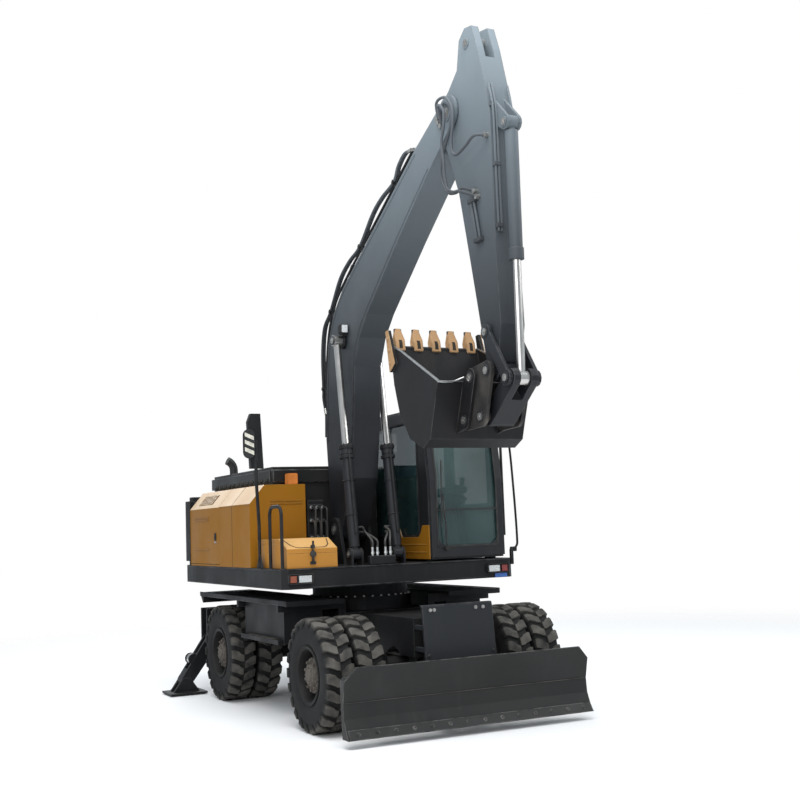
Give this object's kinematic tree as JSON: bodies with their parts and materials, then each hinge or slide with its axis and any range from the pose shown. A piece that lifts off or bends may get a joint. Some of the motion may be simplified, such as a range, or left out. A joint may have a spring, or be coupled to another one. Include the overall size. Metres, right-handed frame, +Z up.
{
  "type": "wheeled excavator",
  "caption": "Wheeled excavator with a slewing upper structure, mono boom, arm and bucket, a front dozer blade and rear outriggers.",
  "frame": {"origin": "on the ground, under the middle of the machine's box as it stands with the bucket tucked in", "axes": "+Z up, -Y the way the machine drives forward, towards the dozer blade, and +X its left side, the cab's"},
  "size_m": [3.28, 6.4038, 6.171],
  "materials": {
    "frame_paint": "satin charcoal paint",
    "body_paint": "semi-gloss ochre paint",
    "rim_paint": "dusty dark grey paint",
    "bare_steel": "worn dark steel",
    "chrome_rod": "polished hard chrome",
    "tyre": "dusty black rubber",
    "cab_glass": "green tinted glass",
    "seat_cloth": "black cloth",
    "dark_plastic": "matt black plastic"
  },
  "bodies": {
    "chassis": {"chassis_frame": "frame_paint", "side_deck_right": "frame_paint", "side_deck_left": "frame_paint", "front_axle": "frame_paint", "rear_axle": "frame_paint", "drive_line": "bare_steel", "front_cover": "frame_paint"},
    "knuckle_right": {"knuckle_right": "frame_paint"},
    "knuckle_left": {"knuckle_left": "frame_paint"},
    "wheel_front_right": {"tyres_front_right": "tyre", "rims_front_right": "rim_paint"},
    "wheel_front_left": {"tyres_front_left": "tyre", "rims_front_left": "rim_paint"},
    "wheel_rear_right": {"tyres_rear_right": "tyre", "rims_rear_right": "rim_paint"},
    "wheel_rear_left": {"tyres_rear_left": "tyre", "rims_rear_left": "rim_paint"},
    "blade": {"blade": "frame_paint"},
    "blade_ram_barrel": {"blade_ram_barrel": "frame_paint"},
    "blade_ram_rod": {"blade_ram_rod": "chrome_rod"},
    "leg_right": {"outrigger_right": "frame_paint"},
    "leg_left": {"outrigger_left": "frame_paint"},
    "leg_ram_right_barrel": {"outrigger_ram_right_barrel": "frame_paint"},
    "leg_ram_right_rod": {"outrigger_ram_right_rod": "chrome_rod"},
    "leg_ram_left_barrel": {"outrigger_ram_left_barrel": "frame_paint"},
    "leg_ram_left_rod": {"outrigger_ram_left_rod": "chrome_rod"},
    "upper": {"upper_frame": "frame_paint", "counterweight": "frame_paint", "housing_right": "body_paint", "housing_left": "body_paint", "engine_hood": "frame_paint", "engine_block": "bare_steel", "toolbox": "body_paint", "mirror_right": "frame_paint", "cab_shell": "frame_paint", "glass_front": "cab_glass", "glass_right": "cab_glass", "glass_left": "cab_glass", "glass_rear": "cab_glass", "seat": "seat_cloth", "steering_column": "dark_plastic"},
    "engine_door": {"engine_door": "body_paint"},
    "toolbox_lid": {"toolbox_lid": "body_paint"},
    "cab_door": {"cab_door": "frame_paint", "glass_door": "cab_glass"},
    "boom": {"boom": "frame_paint"},
    "boom_ram_right_barrel": {"boom_ram_right_barrel": "frame_paint"},
    "boom_ram_right_rod": {"boom_ram_right_rod": "chrome_rod"},
    "boom_ram_left_barrel": {"boom_ram_left_barrel": "frame_paint"},
    "boom_ram_left_rod": {"boom_ram_left_rod": "chrome_rod"},
    "arm": {"arm": "frame_paint"},
    "arm_ram_barrel": {"arm_ram_barrel": "frame_paint"},
    "arm_ram_rod": {"arm_ram_rod": "chrome_rod"},
    "bucket_ram_barrel": {"bucket_ram_barrel": "frame_paint"},
    "bucket_ram_rod": {"bucket_ram_rod": "chrome_rod"},
    "idler": {"idler_link": "frame_paint"},
    "bucket": {"bucket": "frame_paint", "coupler": "bare_steel"},
    "bucket_link": {"bucket_link": "frame_paint"}
  },
  "joints": [
    {"name": "slew", "type": "hinge", "parent": "chassis", "child": "upper", "pos_m": [0, 0.77191, 1.3], "axis": [0, 0, 1], "continuous": true},
    {"name": "boom_lift", "type": "hinge", "parent": "upper", "child": "boom", "pos_m": [-0.25, 0.42191, 1.87], "axis": [-1, 0, 0], "range_deg": [-48, 6]},
    {"name": "arm_crowd", "type": "hinge", "parent": "boom", "child": "arm", "pos_m": [-0.25, -2.32809, 5.51], "axis": [1, 0, 0], "range_deg": [-110, 14]},
    {"name": "bucket_curl", "type": "hinge", "parent": "arm", "child": "bucket", "pos_m": [-0.25, -2.86809, 3.13], "axis": [1, 0, 0], "range_deg": [-150, 5]},
    {"name": "boom_ram_right_swing", "type": "hinge", "parent": "upper", "child": "boom_ram_right_barrel", "pos_m": [-0.485, -0.21809, 1.62], "axis": [-1, 0, 0], "range_deg": [-46.5, 6.5]},
    {"name": "boom_ram_right_stroke", "type": "slide", "parent": "boom_ram_right_barrel", "child": "boom_ram_right_rod", "axis": [0, 0.1333, 0.9911], "range_m": [-0.56, 0.08]},
    {"name": "boom_ram_left_swing", "type": "hinge", "parent": "upper", "child": "boom_ram_left_barrel", "pos_m": [-0.015, -0.21809, 1.62], "axis": [-1, 0, 0], "range_deg": [-46.5, 6.5]},
    {"name": "boom_ram_left_stroke", "type": "slide", "parent": "boom_ram_left_barrel", "child": "boom_ram_left_rod", "axis": [0, 0.1333, 0.9911], "range_m": [-0.56, 0.08]},
    {"name": "arm_ram_swing", "type": "hinge", "parent": "boom", "child": "arm_ram_barrel", "pos_m": [-0.25, 0.00191, 4.6], "axis": [1, 0, 0], "range_deg": [-7.5, 3]},
    {"name": "arm_ram_stroke", "type": "slide", "parent": "arm_ram_barrel", "child": "arm_ram_rod", "axis": [0, -0.8808, 0.4735], "range_m": [-1.01, 0.13]},
    {"name": "bucket_ram_swing", "type": "hinge", "parent": "arm", "child": "bucket_ram_barrel", "pos_m": [-0.25, -3.13809, 5.17], "axis": [1, 0, 0], "range_deg": [-6.5, 3]},
    {"name": "bucket_ram_stroke", "type": "slide", "parent": "bucket_ram_barrel", "child": "bucket_ram_rod", "axis": [0, 0.0141, -0.9999], "range_m": [-0.81, 0.05]},
    {"name": "idler_swing", "type": "hinge", "parent": "arm", "child": "idler", "pos_m": [-0.25, -2.81809, 3.46], "axis": [1, 0, 0], "range_deg": [-105, 5]},
    {"name": "bucket_link_swing", "type": "hinge", "parent": "bucket", "child": "bucket_link", "pos_m": [-0.25, -2.74809, 2.76], "axis": [1, 0, 0], "range_deg": [-5, 98]},
    {"name": "blade_lift", "type": "hinge", "parent": "chassis", "child": "blade", "pos_m": [0, -1.09809, 0.56], "axis": [1, 0, 0], "range_deg": [-25, 15]},
    {"name": "blade_ram_swing", "type": "hinge", "parent": "chassis", "child": "blade_ram_barrel", "pos_m": [0, -1.27809, 0.95], "axis": [1, 0, 0], "range_deg": [-10.5, 7]},
    {"name": "blade_ram_stroke", "type": "slide", "parent": "blade_ram_barrel", "child": "blade_ram_rod", "axis": [0, -0.1699, -0.9855], "range_m": [-0.16, 0.09]},
    {"name": "leg_right_swing", "type": "hinge", "parent": "chassis", "child": "leg_right", "pos_m": [-1.08, 2.78191, 0.62], "axis": [0, 1, 0], "range_deg": [0, 95]},
    {"name": "leg_ram_right_swing", "type": "hinge", "parent": "chassis", "child": "leg_ram_right_barrel", "pos_m": [-0.5, 2.78191, 0.9], "axis": [0, 1, 0], "range_deg": [-1, 31]},
    {"name": "leg_ram_right_stroke", "type": "slide", "parent": "leg_ram_right_barrel", "child": "leg_ram_right_rod", "axis": [-0.8558, 0, -0.5173], "range_m": [-0.15, 0.02]},
    {"name": "leg_left_swing", "type": "hinge", "parent": "chassis", "child": "leg_left", "pos_m": [1.08, 2.78191, 0.62], "axis": [0, -1, 0], "range_deg": [0, 95]},
    {"name": "leg_ram_left_swing", "type": "hinge", "parent": "chassis", "child": "leg_ram_left_barrel", "pos_m": [0.5, 2.78191, 0.9], "axis": [0, -1, 0], "range_deg": [-1, 31]},
    {"name": "leg_ram_left_stroke", "type": "slide", "parent": "leg_ram_left_barrel", "child": "leg_ram_left_rod", "axis": [0.8558, 0, -0.5173], "range_m": [-0.15, 0.02]},
    {"name": "steer_right", "type": "hinge", "parent": "chassis", "child": "knuckle_right", "pos_m": [-0.585, -0.72809, 0.53], "axis": [0, 0, 1], "range_deg": [-25, 25]},
    {"name": "steer_left", "type": "hinge", "parent": "chassis", "child": "knuckle_left", "pos_m": [0.585, -0.72809, 0.53], "axis": [0, 0, 1], "range_deg": [-25.5, 25.5]},
    {"name": "roll_front_right", "type": "hinge", "parent": "knuckle_right", "child": "wheel_front_right", "pos_m": [-0.9575, -0.72809, 0.53], "axis": [1, 0, 0], "continuous": true},
    {"name": "roll_front_left", "type": "hinge", "parent": "knuckle_left", "child": "wheel_front_left", "pos_m": [0.9575, -0.72809, 0.53], "axis": [1, 0, 0], "continuous": true},
    {"name": "roll_rear_right", "type": "hinge", "parent": "chassis", "child": "wheel_rear_right", "pos_m": [-0.9575, 1.97191, 0.53], "axis": [1, 0, 0], "continuous": true},
    {"name": "roll_rear_left", "type": "hinge", "parent": "chassis", "child": "wheel_rear_left", "pos_m": [0.9575, 1.97191, 0.53], "axis": [1, 0, 0], "continuous": true},
    {"name": "cab_door_hinge", "type": "hinge", "parent": "upper", "child": "cab_door", "pos_m": [1.2163, 0.74191, 1.62], "axis": [0, 0, 1], "range_deg": [0, 150]},
    {"name": "engine_door_hinge", "type": "hinge", "parent": "upper", "child": "engine_door", "pos_m": [-1.33, 2.74391, 1.51], "axis": [0, 0, -1], "range_deg": [0, 100]},
    {"name": "toolbox_lid_hinge", "type": "hinge", "parent": "upper", "child": "toolbox_lid", "pos_m": [-1.005, 0.49191, 1.8], "axis": [-1, 0, 0], "range_deg": [0, 80]}
  ],
  "couplings": [
    {"joint": "boom_ram_right_swing", "follows": "boom_lift", "ratio": 0.945},
    {"joint": "boom_ram_right_stroke", "follows": "boom_lift", "m_per_rad": 0.655},
    {"joint": "boom_ram_left_swing", "follows": "boom_lift", "ratio": 0.945},
    {"joint": "boom_ram_left_stroke", "follows": "boom_lift", "m_per_rad": 0.655},
    {"joint": "arm_ram_swing", "follows": "arm_crowd", "ratio": 0.06},
    {"joint": "arm_ram_stroke", "follows": "arm_crowd", "m_per_rad": 0.493},
    {"joint": "bucket_ram_swing", "follows": "bucket_curl", "ratio": 0.035},
    {"joint": "bucket_ram_stroke", "follows": "bucket_curl", "m_per_rad": 0.28},
    {"joint": "idler_swing", "follows": "bucket_curl", "ratio": 0.656},
    {"joint": "bucket_link_swing", "follows": "bucket_curl", "ratio": -0.599},
    {"joint": "blade_ram_swing", "follows": "blade_lift", "ratio": 0.3875},
    {"joint": "blade_ram_stroke", "follows": "blade_lift", "m_per_rad": 0.254},
    {"joint": "leg_ram_right_swing", "follows": "leg_right_swing", "ratio": 0.32},
    {"joint": "leg_ram_right_stroke", "follows": "leg_right_swing", "m_per_rad": -0.084},
    {"joint": "leg_ram_left_swing", "follows": "leg_left_swing", "ratio": 0.32},
    {"joint": "leg_ram_left_stroke", "follows": "leg_left_swing", "m_per_rad": -0.084},
    {"joint": "steer_left", "follows": "steer_right", "ratio": 1}
  ]
}
